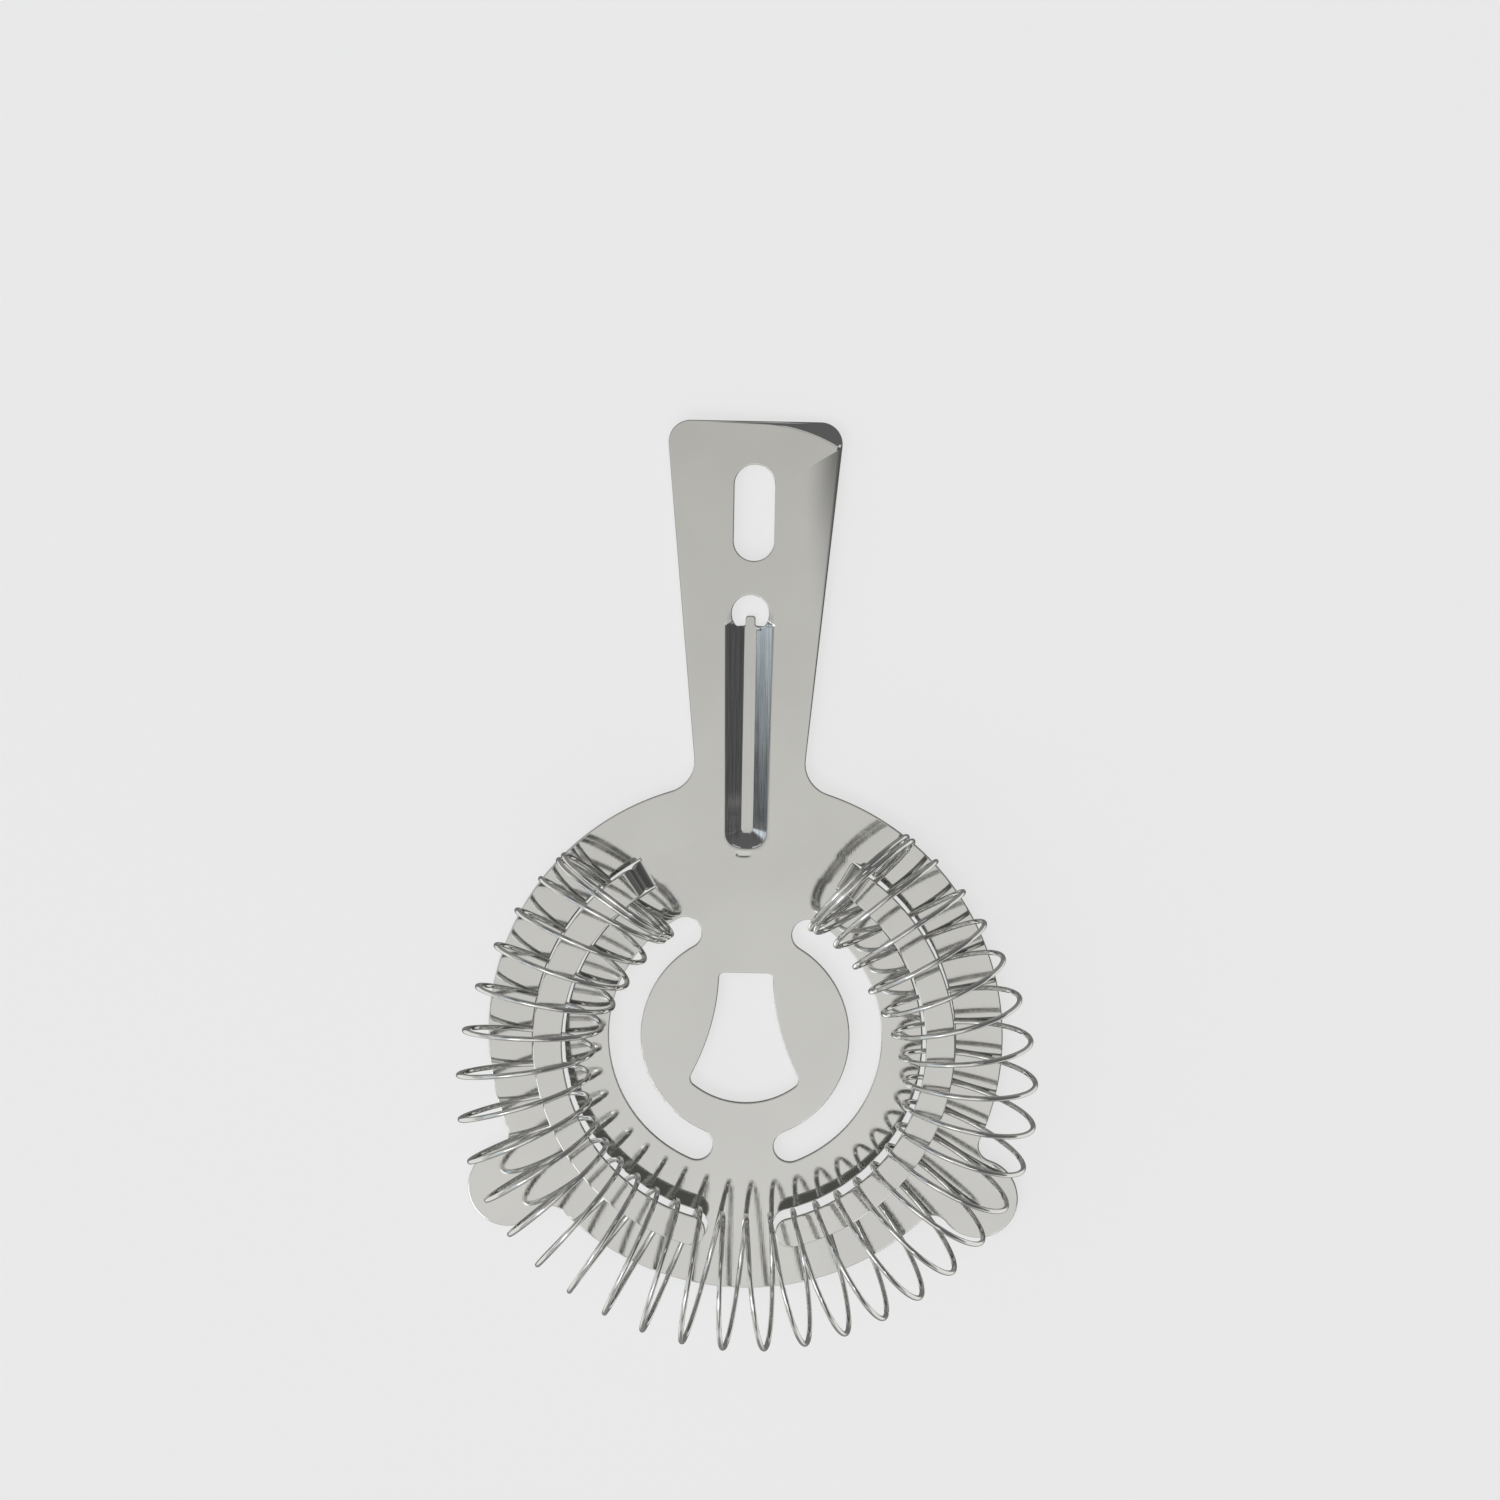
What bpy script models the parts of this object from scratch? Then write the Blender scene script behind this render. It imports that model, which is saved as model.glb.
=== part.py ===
"""Hawthorne cocktail strainer: one stamped sheet plate and one coil spring.

Frame: the strainer lies on its back, +Z up. The plate is level, its handle points along +Y and its spring side
faces +Z. The origin is the bottom centre of the whole strainer. Everything is placed from an empty on the
disc's centre, in the plane of the plate's spring side. Angles round the disc start at -Y, the side opposite
the handle, and grow towards +X.
"""

import math

import bpy
from mathutils import Vector
from mathutils.geometry import delaunay_2d_cdt

MM = 0.001
NEAR = 0.01 * MM

# Plate: one sheet, stamped and lanced
SHEET = 1.0 * MM
DISC_R = 47.5 * MM
HANDLE_END = 113.1 * MM
HANDLE_CORNER_R = 4.0 * MM
NECK_Y = 54.0 * MM
NECK_HALF = 10.45 * MM
HANDLE_TAPER = 0.0973
NECK_FILLET = 6.0 * MM
EAR_ANGLE = 56.0
EAR_REACH = 52.7 * MM
EAR_R = 7.4 * MM
EAR_FILLET = 3.0 * MM

# Holes through the plate
HANG_SLOT_Y = 96.5 * MM
HANG_SLOT_R = 3.675 * MM
HANG_SLOT_LENGTH = 17.5 * MM
ROUND_HOLE_Y = 78.2 * MM
ROUND_HOLE_R = 3.4 * MM
C_SLOT_IN = 19.3 * MM
C_SLOT_OUT = 25.2 * MM
C_SLOT_ENDS = (22.8, 149.5)
BELL_TOP = 11.9 * MM
BELL_HALF_TOP = 4.97 * MM
BELL_FLARE = 0.0131 / MM
BELL_CORNER_Y = -8.05 * MM
BELL_CORNER_R = 1.6 * MM
BELL_BOTTOM = -12.5 * MM
BELL_TOP_R = 1.0 * MM

# Stiffening rib, pressed down from the spring side and open to the round hole
RIB_X = -0.4 * MM
RIB_DEPTH = 1.7 * MM
RIB_TOP = 75.8 * MM
RIB_MOUTH_TOP = 77.3 * MM
RIB_MOUTH_HALF = 3.2 * MM
RIB_HALF_TOP = 4.375 * MM
RIB_HALF_END = 3.8 * MM
RIB_END_Y = 38.8 * MM
RIB_FLOOR_HALF = 1.1 * MM

# Tongues, lanced out of the disc and raised to carry the spring
TONGUE_IN = 33.2 * MM
TONGUE_OUT = 38.5 * MM
TONGUE_ROOT = 150.0
TONGUE_TIP = 10.5
TONGUE_RISE = 8.6 * MM
TONGUE_SLOPE = 77.0
TONGUE_FOOT_R = 0.6 * MM
LANCE_GAP = 0.3 * MM
LANCE_END = 9.7

# Coil spring: one wire, wound round both tongues and lying on the plate
WIRE_R = 0.475 * MM
COIL_R = 12.0 * MM
SPRING_LIFT = 0.3 * MM
RING_R = 42.9 * MM
RING_PULL_IN = 6.2 * MM
RING_PULL_FROM = 55.0
RING_PULL_SPAN = 68.0
TURN_PITCH = 5.85 * MM
TURN_PITCH_GAIN = 0.75 * MM
TURN_PITCH_FROM = 70.0
TURN_PITCH_SPAN = 60.0
PACKED_FROM = 136.0
PACKED_PITCH = 1.6 * MM
SPRING_END = 144.0
FRONT_PHASE = 240.0

# The wire is divided into stretches, so that it can close up like a spring
STRETCH_TURNS = 4
STRETCHES_PER_SIDE = 4
WIRE_BREAK = 0.3 * MM
WIRE_SIDES = 6
STEPS_PER_TURN = 12

SPRING_FRONT = RING_R + COIL_R + WIRE_R
DISC_CENTRE = Vector((0.0, (SPRING_FRONT - HANDLE_END) / 2, SHEET + RIB_DEPTH))


def polar(radius, angle):
    turn = math.radians(angle)
    return Vector((radius * math.sin(turn), -radius * math.cos(turn)))


def smooth(value):
    share = min(max(value, 0.0), 1.0)
    return share * share * (3 - 2 * share)


def arc(centre, start, sweep, steps):
    """Points from start, turned round centre by sweep degrees."""
    points = []
    for i in range(steps + 1):
        turn = math.radians(sweep * i / steps)
        arm = start - centre
        points.append(centre + Vector((
            arm.x * math.cos(turn) - arm.y * math.sin(turn),
            arm.x * math.sin(turn) + arm.y * math.cos(turn),
        )))
    return points


def ring_arc(radius, start, stop, step=6.0):
    """Points on a circle round the disc's centre."""
    count = max(1, round(abs(stop - start) / step))
    return [polar(radius, start + (stop - start) * i / count) for i in range(count + 1)]


def both_sides(right):
    """A closed outline from its +X half, which runs from bottom to top."""
    left = [Vector((-p.x, p.y)) for p in reversed(right) if abs(p.x) > 1e-7]
    return right + left


def mirrored(points):
    return [Vector((-p.x, p.y)) for p in points]


def angle_between(one, other):
    return math.degrees(one.angle(other))


def disc_half():
    """The +X half of the disc's edge with its ear, where it stops, and the line across the ear's foot."""
    centre = polar(EAR_REACH, EAR_ANGLE)
    far, near = DISC_R + EAR_FILLET, EAR_R + EAR_FILLET
    spread = math.degrees(math.acos((far**2 + EAR_REACH**2 - near**2) / (2 * far * EAR_REACH)))
    low, high = polar(far, EAR_ANGLE - spread), polar(far, EAR_ANGLE + spread)
    fillet_sweep = angle_between(-low, centre - low)
    ear_sweep = 360 - 2 * angle_between(-centre, low - centre)
    points = ring_arc(DISC_R, 0.0, EAR_ANGLE - spread)
    points += arc(low, points[-1], -fillet_sweep, 4)[1:]
    ear = arc(centre, points[-1], ear_sweep, 12)
    points += ear[1:]
    points += arc(high, points[-1], -fillet_sweep, 4)[1:]
    return points, EAR_ANGLE + spread, [ear[0], ear[-1]]


def handle_half():
    """The +X half of the handle's edge, from the neck fillet to the middle of the end."""
    out = Vector((1.0, -HANDLE_TAPER)).normalized()
    along = Vector((HANDLE_TAPER, 1.0)).normalized()
    side = out.dot(Vector((NECK_HALF, NECK_Y)))
    far = DISC_R + NECK_FILLET
    reach = side + NECK_FILLET
    neck = out * reach + along * math.sqrt(far**2 - reach**2)
    corner_y = HANDLE_END - HANDLE_CORNER_R
    corner = Vector(((side - HANDLE_CORNER_R - out.y * corner_y) / out.x, corner_y))
    points = arc(neck, neck * (DISC_R / far), -angle_between(neck, out), 5)
    points += arc(corner, corner + out * HANDLE_CORNER_R, angle_between(out, Vector((0, 1))), 5)
    return points, 180.0 - math.degrees(math.atan2(neck.x, neck.y))


def plate_outline():
    """The plate's edge, and a line across the foot of each ear that sets off its flat seat."""
    disc, disc_stop, ear_foot = disc_half()
    handle, neck_start = handle_half()
    right = disc + ring_arc(DISC_R, disc_stop, neck_start)[1:-1] + handle
    return both_sides(right), [ear_foot, mirrored(ear_foot)]


def hang_slot():
    half = HANG_SLOT_LENGTH / 2 - HANG_SLOT_R
    low = arc(Vector((0, HANG_SLOT_Y - half)), Vector((-HANG_SLOT_R, HANG_SLOT_Y - half)), 180, 8)
    high = arc(Vector((0, HANG_SLOT_Y + half)), Vector((HANG_SLOT_R, HANG_SLOT_Y + half)), 180, 8)
    return low + high


def round_hole():
    """A round hole that is cut off straight where the rib opens into it."""
    middle = Vector((RIB_X, ROUND_HOLE_Y))
    sides = angle_between(Vector((0, -1)), Vector((RIB_MOUTH_HALF, RIB_MOUTH_TOP - ROUND_HOLE_Y)))
    start = Vector((RIB_X + RIB_MOUTH_HALF, RIB_MOUTH_TOP))
    top = arc(middle, middle + (start - middle).normalized() * ROUND_HOLE_R, 360 - 2 * sides, 12)
    cut_half = math.sqrt(ROUND_HOLE_R**2 - (ROUND_HOLE_Y - RIB_TOP) ** 2)
    mouth = [Vector((RIB_X + x, RIB_TOP)) for x in (-cut_half, -RIB_FLOOR_HALF, RIB_FLOOR_HALF, cut_half)]
    return top + mouth


def bell_hole():
    """A bell: flared sides, rounded corners and a bottom edge that is one arc through both lower corners."""
    drop = BELL_TOP - BELL_CORNER_Y
    side_out = Vector((1.0, 2 * BELL_FLARE * drop)).normalized()
    corner_x = BELL_HALF_TOP + BELL_FLARE * drop**2 - BELL_CORNER_R / side_out.x
    corner = Vector((corner_x, BELL_CORNER_Y))
    low = BELL_BOTTOM + BELL_CORNER_R
    middle = Vector((0.0, (corner.length_squared - low**2) / (2 * (corner.y - low))))
    bottom_sweep = angle_between(Vector((0, -1)), corner - middle)
    right = arc(middle, Vector((0.0, BELL_BOTTOM)), bottom_sweep, 4)
    right += arc(corner, right[-1], angle_between(corner - middle, side_out), 5)[1:]
    for share in (0.85, 0.7, 0.55, 0.4, 0.25):
        right.append(Vector((BELL_HALF_TOP + BELL_FLARE * (drop * share) ** 2, BELL_TOP - drop * share)))
    top_corner = Vector((BELL_HALF_TOP - BELL_TOP_R, BELL_TOP - BELL_TOP_R))
    right += arc(top_corner, top_corner + Vector((BELL_TOP_R, 0)), 90, 3)
    return both_sides(right)


def arc_slot(inner, outer, start, stop):
    """A slot along a circle, with a round end at each of the two angles."""
    middle, half = (inner + outer) / 2, (outer - inner) / 2
    points = ring_arc(outer, start, stop)
    points += arc(polar(middle, stop), polar(outer, stop), 180, 6)[1:-1]
    points += ring_arc(inner, stop, start)
    points += arc(polar(middle, start), polar(middle - half, start), 180, 6)[1:-1]
    return points


def lance_slot():
    """The slot that a tongue leaves: round at the tip, square at the root, wider than the tongue all round."""
    inner, outer = TONGUE_IN - LANCE_GAP, TONGUE_OUT + LANCE_GAP
    middle, half = (inner + outer) / 2, (outer - inner) / 2
    tip = LANCE_END + math.degrees(half / middle)
    points = ring_arc(outer, tip, TONGUE_ROOT)
    points += [polar(TONGUE_OUT, TONGUE_ROOT), polar(TONGUE_IN, TONGUE_ROOT)]
    points += ring_arc(inner, TONGUE_ROOT, tip)
    points += arc(polar(middle, tip), polar(inner, tip), 180, 6)[1:-1]
    return points


def rib_half_width(y):
    if y > RIB_TOP:
        share = min((y - RIB_TOP) / (RIB_MOUTH_TOP - RIB_TOP), 1.0)
        return RIB_HALF_TOP + (RIB_MOUTH_HALF - RIB_HALF_TOP) * share
    return RIB_HALF_END + (RIB_HALF_TOP - RIB_HALF_END) * (y - RIB_END_Y) / (RIB_TOP - RIB_END_Y)


def rib_drop(x, y):
    """How far the sheet is pressed down at a point: sloping walls, a flat floor and a round lower end."""
    if y > RIB_MOUTH_TOP + NEAR:
        return 0.0
    if y < RIB_END_Y:
        off, half = math.hypot(x - RIB_X, y - RIB_END_Y), RIB_HALF_END
    else:
        off, half = abs(x - RIB_X), rib_half_width(y)
    return RIB_DEPTH * min(max((half - off) / (half - RIB_FLOOR_HALF), 0.0), 1.0)


def rib_creases():
    """The rib's brim and the edge of its floor, each an open line from the hole round the lower end and back."""
    lines = []
    for half_top, half_end in ((RIB_HALF_TOP, RIB_HALF_END), (RIB_FLOOR_HALF, RIB_FLOOR_HALF)):
        centre = Vector((RIB_X, RIB_END_Y))
        line = [Vector((RIB_X - half_top, RIB_TOP))]
        line += arc(centre, centre - Vector((half_end, 0)), 180, 8)
        line += [Vector((RIB_X + half_top, RIB_TOP))]
        lines.append(line)
    return lines


def inside(point, loop):
    hit = False
    for a, b in zip(loop, loop[1:] + loop[:1]):
        if (a.y > point.y) != (b.y > point.y):
            if point.x < a.x + (b.x - a.x) * (point.y - a.y) / (b.y - a.y):
                hit = not hit
    return hit


def sheet_faces(outline, holes, creases):
    """Flat triangles that fill the outline but not its holes, with edges along the creases."""
    points, edges = [], []
    for line in [outline, *holes]:
        first = len(points)
        points += line
        edges += [(first + i, first + (i + 1) % len(line)) for i in range(len(line))]
    for line in creases:
        first = len(points)
        points += line
        edges += [(first + i, first + i + 1) for i in range(len(line) - 1)]
    verts, _, faces, _, _, _ = delaunay_2d_cdt(points, edges, [], 0, 1e-7)
    kept = []
    for face in faces:
        middle = sum((verts[i] for i in face), Vector((0, 0))) / len(face)
        if inside(middle, outline) and not any(inside(middle, hole) for hole in holes):
            kept.append(list(face))
    return verts, kept


def tongue_profile():
    """(run, rise) of the tongue's upper side, from its root to where it is level."""
    slope = math.radians(TONGUE_SLOPE)
    crown_r = TONGUE_FOOT_R + SHEET
    foot = [(TONGUE_FOOT_R * math.sin(slope * i / 3), TONGUE_FOOT_R * (1 - math.cos(slope * i / 3)))
            for i in range(1, 4)]
    straight = TONGUE_RISE - (TONGUE_FOOT_R + crown_r) * (1 - math.cos(slope))
    run = foot[-1][0] + straight / math.tan(slope) + crown_r * math.sin(slope)
    crown = [(run - crown_r * math.sin(slope * i / 3), TONGUE_RISE - crown_r * (1 - math.cos(slope * i / 3)))
             for i in range(3, -1, -1)]
    return foot + crown


def tongue_stations():
    """(angle, height, half width) along a tongue, from just past its root to its rounded tip."""
    middle, half = (TONGUE_IN + TONGUE_OUT) / 2, (TONGUE_OUT - TONGUE_IN) / 2
    stations = [(TONGUE_ROOT - math.degrees(run / middle), rise, half) for run, rise in tongue_profile()]
    level, tip = stations[-1][0], TONGUE_TIP + math.degrees(half / middle)
    count = round((level - tip) / 6.0)
    stations += [(level + (tip - level) * i / count, TONGUE_RISE, half) for i in range(1, count + 1)]
    for share in (0.5, 0.85, 0.98):
        shrunk = half * math.sqrt(1 - share**2)
        stations.append((tip - math.degrees(half * share / middle), TONGUE_RISE, shrunk))
    return stations


def nearest(verts, point):
    return min(range(len(verts)), key=lambda i: (verts[i].xy - point).length)


def add_tongue(verts, faces, side):
    """Adds one tongue to the sheet, from the two points of its root. side is 1 for +X and -1 for -X."""
    middle = (TONGUE_IN + TONGUE_OUT) / 2
    turned = Vector((side, 1))
    last = [nearest(verts, polar(r, TONGUE_ROOT) * turned) for r in (TONGUE_IN, TONGUE_OUT)]
    for angle, height, half in tongue_stations():
        row = []
        for radius in (middle - half, middle + half):
            point = polar(radius, angle) * turned
            row.append(len(verts))
            verts.append(Vector((point.x, point.y, height)))
        face = [last[0], last[1], row[1], row[0]]
        faces.append(face if side < 0 else face[::-1])
        last = row


def finish_object(name, verts, faces, material):
    mesh = bpy.data.meshes.new(name)
    mesh.from_pydata([tuple(v) for v in verts], [], faces)
    mesh.validate()
    mesh.shade_smooth()
    mesh.set_sharp_from_angle(angle=math.radians(35))
    mesh.materials.append(material)
    obj = bpy.data.objects.new(name, mesh)
    obj.parent = disc_centre
    bpy.context.scene.collection.objects.link(obj)
    return obj


def steel(name, colour, roughness):
    material = bpy.data.materials.new(name)
    material.use_nodes = True
    shader = material.node_tree.nodes["Principled BSDF"]
    shader.inputs["Base Color"].default_value = (*colour, 1.0)
    shader.inputs["Roughness"].default_value = roughness
    shader.inputs["Metallic"].default_value = 1.0
    return material


def make_plate():
    holes = [hang_slot(), round_hole(), bell_hole()]
    for slot in (arc_slot(C_SLOT_IN, C_SLOT_OUT, *C_SLOT_ENDS), lance_slot()):
        holes += [slot, mirrored(slot)]
    outline, ear_feet = plate_outline()
    flat, faces = sheet_faces(outline, holes, rib_creases() + ear_feet)
    verts = [Vector((p.x, p.y, -rib_drop(p.x, p.y))) for p in flat]
    for side in (1, -1):
        add_tongue(verts, faces, side)
    plate = finish_object("plate", verts, faces, steel("plate_steel", (0.71, 0.70, 0.68), 0.3))
    shell = plate.modifiers.new("sheet", "SOLIDIFY")
    shell.thickness = SHEET
    shell.offset = -1
    shell.solidify_mode = "NON_MANIFOLD"
    shell.nonmanifold_thickness_mode = "CONSTRAINTS"
    shell.nonmanifold_boundary_mode = "FLAT"
    shell.nonmanifold_merge_threshold = 0.000001
    return plate


def ring_radius(angle):
    """Distance of the coil's middle line from the disc's centre: the spring's ends are drawn in."""
    return RING_R - RING_PULL_IN * smooth((abs(angle) - RING_PULL_FROM) / RING_PULL_SPAN)


def turn_pitch(angle):
    if abs(angle) > PACKED_FROM:
        return PACKED_PITCH
    return TURN_PITCH + TURN_PITCH_GAIN * smooth((abs(angle) - TURN_PITCH_FROM) / TURN_PITCH_SPAN)


def step_angles():
    """The angle round the disc at every step along the wire, from the front of the spring to one end."""
    angles = [0.0]
    while angles[-1] < SPRING_END:
        angle = angles[-1]
        angles.append(angle + math.degrees(turn_pitch(angle) / ring_radius(angle)) / STEPS_PER_TURN)
    return angles


def step_angle(step):
    """Steps count from the front of the spring, and are negative on the -X side."""
    whole = min(int(abs(step)), len(half_angles) - 2)
    low, high = half_angles[whole], half_angles[whole + 1]
    return math.copysign(low + (high - low) * (abs(step) - whole), step)


def wire_point(step):
    """A point on the wire's middle line, and the direction to it from the middle of the coil."""
    angle = step_angle(step)
    phase = math.radians(FRONT_PHASE - 360.0 * step / STEPS_PER_TURN)
    outward = polar(1.0, angle)
    arm = Vector((outward.x * math.cos(phase), outward.y * math.cos(phase), math.sin(phase)))
    middle = polar(ring_radius(angle), angle).to_3d()
    middle.z = SPRING_LIFT + WIRE_R + COIL_R
    return middle + arm * COIL_R, arm


def make_stretch(name, first, last, material):
    """One stretch of the wire, from step first to step last, as a closed tube."""
    count = math.ceil(last - first)
    verts, faces = [], []
    for i in range(count + 1):
        step = first + (last - first) * i / count
        centre, arm = wire_point(step)
        forward = wire_point(step + 0.1)[0] - wire_point(step - 0.1)[0]
        sideways = forward.cross(arm).normalized()
        upright = sideways.cross(forward).normalized()
        for k in range(WIRE_SIDES):
            turn = 2 * math.pi * k / WIRE_SIDES
            verts.append(centre + WIRE_R * (upright * math.cos(turn) + sideways * math.sin(turn)))
    for i in range(count):
        for k in range(WIRE_SIDES):
            a, b = i * WIRE_SIDES + k, i * WIRE_SIDES + (k + 1) % WIRE_SIDES
            faces.append([a, b, b + WIRE_SIDES, a + WIRE_SIDES])
    faces.append(list(range(WIRE_SIDES))[::-1])
    faces.append(list(range(count * WIRE_SIDES, (count + 1) * WIRE_SIDES)))
    return finish_object(name, verts, faces, material)


def make_spring():
    """The wire is divided where it stands upright on the coil's outer side, so that stretches slide past freely."""
    material = steel("spring_steel", (0.76, 0.75, 0.73), 0.16)
    stretch = STRETCH_TURNS * STEPS_PER_TURN
    gap = WIRE_BREAK / (2 * math.pi * COIL_R / STEPS_PER_TURN) / 2
    end = len(half_angles) - 1
    right = STEPS_PER_TURN * (1 + FRONT_PHASE / 360.0)
    left = right - stretch
    make_stretch("spring_front", left + gap, right - gap, material)
    for number in range(1, STRETCHES_PER_SIDE + 1):
        last = number == STRETCHES_PER_SIDE
        right_stop = end if last else right + stretch - gap
        left_stop = -end if last else left - stretch + gap
        make_stretch(f"spring_right_{number}", right + gap, right_stop, material)
        make_stretch(f"spring_left_{number}", left_stop, left - gap, material)
        right += stretch
        left -= stretch


for old in list(bpy.data.objects):
    bpy.data.objects.remove(old)

disc_centre = bpy.data.objects.new("disc_centre", None)
disc_centre.location = DISC_CENTRE
bpy.context.scene.collection.objects.link(disc_centre)
half_angles = step_angles()
make_plate()
make_spring()
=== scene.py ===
"""Looks of the hawthorne strainer: the stamped steel plate, its rib and raised tongues, and the coil spring.

Shapes are worked out in millimetres from the middle of the disc, with Z = 0 on the plate's spring side.
Angles round the disc start at -Y, the side opposite the handle, and grow towards +X. Where a value differs
between the two sides, -1 stands for the -X side and 1 for the +X side.
"""

import math

import bpy
import numpy as np
from mathutils import Matrix, Vector
from mathutils.geometry import delaunay_2d_cdt


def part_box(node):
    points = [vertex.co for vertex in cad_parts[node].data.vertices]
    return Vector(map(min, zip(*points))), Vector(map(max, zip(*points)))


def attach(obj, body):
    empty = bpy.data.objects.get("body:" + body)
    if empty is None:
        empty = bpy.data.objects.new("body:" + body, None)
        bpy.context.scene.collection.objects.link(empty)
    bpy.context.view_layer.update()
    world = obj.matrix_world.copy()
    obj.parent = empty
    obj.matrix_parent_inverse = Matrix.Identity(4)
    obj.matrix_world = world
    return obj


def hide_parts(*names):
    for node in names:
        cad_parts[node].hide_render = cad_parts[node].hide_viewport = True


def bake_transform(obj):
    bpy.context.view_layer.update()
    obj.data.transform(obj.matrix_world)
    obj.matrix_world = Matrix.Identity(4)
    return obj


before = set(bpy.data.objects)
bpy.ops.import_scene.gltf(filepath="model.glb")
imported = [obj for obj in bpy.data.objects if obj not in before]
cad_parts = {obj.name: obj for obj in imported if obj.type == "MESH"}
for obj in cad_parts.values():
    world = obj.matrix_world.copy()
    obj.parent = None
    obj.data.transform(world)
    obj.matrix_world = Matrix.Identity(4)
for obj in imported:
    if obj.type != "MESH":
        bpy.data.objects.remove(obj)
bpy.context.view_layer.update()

MM = 0.001

# Camera, in millimetres and degrees
CAMERA_PLACE = Vector((17.6, 118.26, 589.6))
CAMERA_AIM = Vector((-0.02, 53.24, 0.0))
CAMERA_ROLL = 1.027
CAMERA_LENS = 77.9

# Plate
SHEET = 1.0
DISC_R = 47.5
HANDLE_END = 113.1
HANDLE_CORNER_R = 4.0
NECK_Y = 54.0
NECK_HALF = 10.45
HANDLE_TAPER = 0.0973
NECK_FILLET = 6.0
EAR_ANGLE = 56.0
EAR_REACH = 52.7
EAR_R = 7.4
EAR_FILLET = 3.0

# The handle's bent corner
CORNER_BEND_CENTRE = Vector((0.2, 83.4))
CORNER_BEND_R = 29.15
CORNER_BEND_SLOPE = 0.38
CORNER_BEND_SOFTNESS = 0.15

# Holes
HANG_SLOT_Y = 96.5
HANG_SLOT_R = 3.675
HANG_SLOT_LENGTH = 17.5
ROUND_HOLE_Y = 78.2
ROUND_HOLE_R = 3.4
C_SLOT_IN = 19.3
C_SLOT_OUT = 25.2
C_SLOT_ENDS = (22.8, 149.5)
BELL_TOP = 11.9
BELL_HALF_TOP = 4.97
BELL_FLARE = 0.0131
BELL_CORNER_Y = -8.05
BELL_CORNER_R = 1.6
BELL_BOTTOM = -12.5
BELL_TOP_R = 1.0

# Rib, pressed down from the spring side; its walls close in beside the round hole
RIB_X = -0.4
RIB_DEPTH = 1.7
RIB_TOP = 75.8
RIB_HALF_TOP = 4.375
RIB_HALF_END = 3.8
RIB_END_Y = 38.8
RIB_END_NORM = 2.7
RIB_FLOOR_HALF = 1.1
RIB_BRIM_SOFTNESS = 0.15
RIB_FLOOR_SOFTNESS = 0.05
RIB_MOUTH_FROM = 76.15
RIB_MOUTH_TOP = 76.8
RIB_MOUTH_HALF = 3.1
RIB_MOUTH_FADE = 0.4

# The rib's floor in the round hole: a tongue, and a round lobe of the hole on each side of it
FLOOR_TONGUE_HALF = 0.92
FLOOR_TONGUE_TOP = 77.65
FLOOR_TONGUE_TIP_R = 0.55
FLOOR_TONGUE_FOOT_R = 0.3
LOBE_R = 0.8

# Curved mark that the press left below the rib: how wide it is to both sides of its deepest line
PRESS_MARK_CENTRE = Vector((-0.9, 39.8))
PRESS_MARK_R = 6.1
PRESS_MARK_INNER = 0.9
PRESS_MARK_OUTER = 0.4
PRESS_MARK_SPREAD = 15.0
PRESS_MARK_DEPTH = 0.13

# Tongues, raised out of their slots; each has drifted a little from where it was cut
TONGUE_IN = 33.2
TONGUE_OUT = 38.5
TONGUE_ROOT = 150.0
TONGUE_TIP = 10.5
TONGUE_RISE = 8.6
TONGUE_SLOPE = 77.0
TONGUE_FOOT_R = 0.6
TONGUE_STRETCH = 20.0
TONGUE_NECK = 0.5
TONGUE_NECK_LENGTH = 8.0
TONGUE_DRIFT = {-1: Vector((0.45, 1.0)), 1: Vector((0.1, 0.6))}
LANCE_GAP = 0.3
LANCE_END = 9.7

# Spring: one wire that runs from the front to both ends, where its turns are packed and lean
WIRE_R = 0.475
COIL_R = 12.0
SPRING_LIFT = 0.3
SPRING_SHIFT = 0.8
RING_R = 42.9
RING_PULL_IN = 6.2
RING_PULL_FROM = 55.0
RING_PULL_SPAN = 68.0
TURN_PITCH = 5.93
TURN_PITCH_FROM = 50.0
TURN_PITCH_SPAN = 40.0
TURN_PITCH_GAIN = {-1: 0.4, 1: 0.1}
PACKED_PITCH = 1.0
PACKED_SPAN = 2.0
PACKED_FROM = {-1: 135.5, 1: 144.5}
SPRING_END = {-1: 140.2, 1: 148.4}
LOOP_LEAN = 13.0
LOOP_TILT = {-1: 0.05, 1: 0.22}
LOOP_TURNS_FROM = 108.0
LOOP_TURNS_SPAN = 32.0
FRONT_PHASE = 216.0
WIRE_SIDES = 16
STEPS_PER_TURN = 64
WIRE_END_SHARE = 0.75
WIRE_END_STEPS = 0.1

# Middles of the CAD's stretches of the spring: the front one, then the +X and the -X one of each pair
FRONT_MIDDLE = -2.6
PAIR_MIDDLES = ((28.8, -34.0), (60.4, -65.8), (94.8, -101.0), (130.0, -133.0))

# The sheared edge of the sheet: how far in from the edge each ring is, and how far below the face
RINGS = ((0.0, 0.11), (0.03, 0.035), (0.11, 0.0), (0.3, 0.0))

# Mesh of the sheet: longest step on an arc, how far detail lines stay from an edge, and slope sampling
ARC_STEP = 1.0
DETAIL_CLEARANCE = 0.12
DETAIL_INSET = 0.05
MERGE_DISTANCE = 1e-5
SLOPE_STEP = 0.02

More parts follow.
